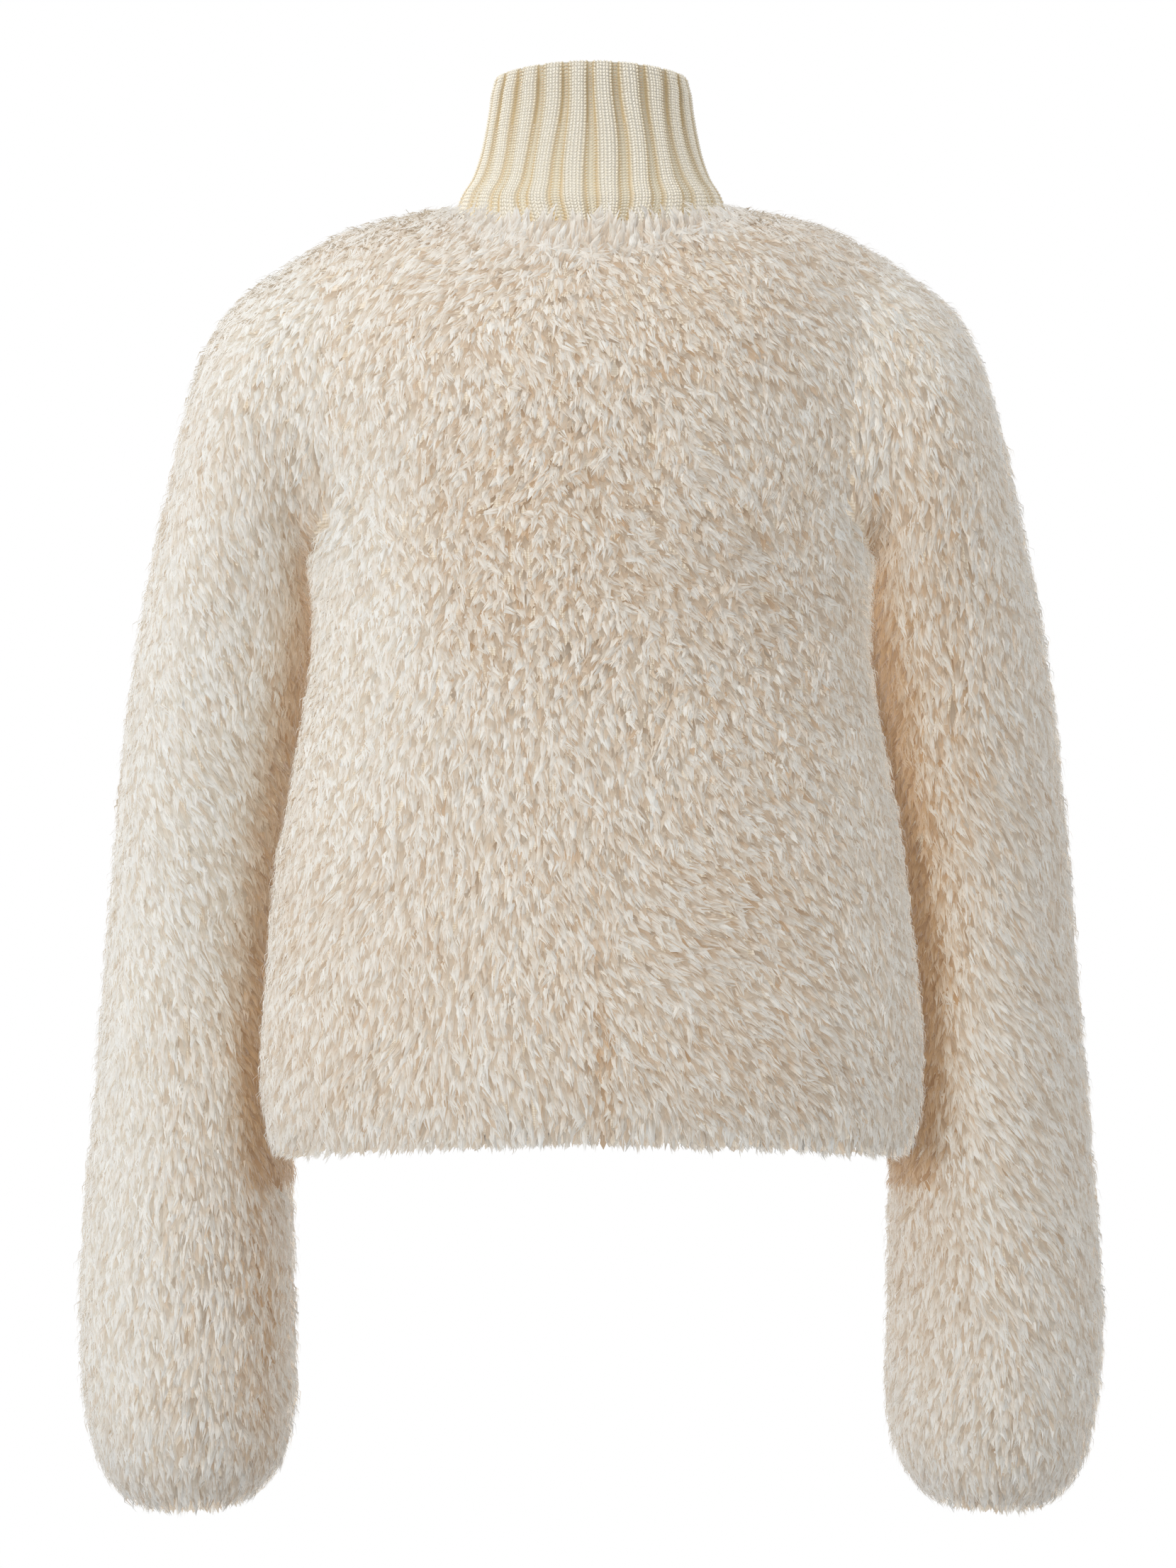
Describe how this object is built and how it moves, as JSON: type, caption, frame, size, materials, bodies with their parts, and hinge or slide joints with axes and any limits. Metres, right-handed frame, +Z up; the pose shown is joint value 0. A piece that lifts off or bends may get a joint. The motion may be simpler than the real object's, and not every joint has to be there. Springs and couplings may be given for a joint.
{
  "type": "cardigan",
  "caption": "Cropped cardigan in plush long-pile knit with long full sleeves, a ribbed funnel collar and a centre-front zip, hollow as worn",
  "frame": {"origin": "in the middle of the neck, at the height where the shoulders carry the garment", "axes": "+Z up; the wearer faces -Y; +X is the wearer's left"},
  "size_m": [0.5946, 0.2619, 0.8209],
  "materials": {
    "pile": "plush cream pile, deep and soft, tan between its locks",
    "rib_knit": "matt ecru wide rib knit",
    "zip_tape": "woven ecru tape",
    "zip_metal": "satin pale metal"
  },
  "bodies": {
    "garment": {"back": "pile", "front_left": "pile", "front_right": "pile", "sleeve_left": "pile", "sleeve_right": "pile", "collar": "rib_knit", "zip_tape_left": "zip_tape", "zip_tape_right": "zip_tape", "zip_box": "zip_metal", "zip_slider": "zip_metal"},
    "pull_tab": {"zip_pull": "zip_metal"}
  },
  "joints": [
    {"name": "pull_hinge", "type": "hinge", "parent": "garment", "child": "pull_tab", "pos_m": [0, -0.0563, 0.055], "axis": [-1, 0, 0], "range_deg": [0, 170]}
  ]
}
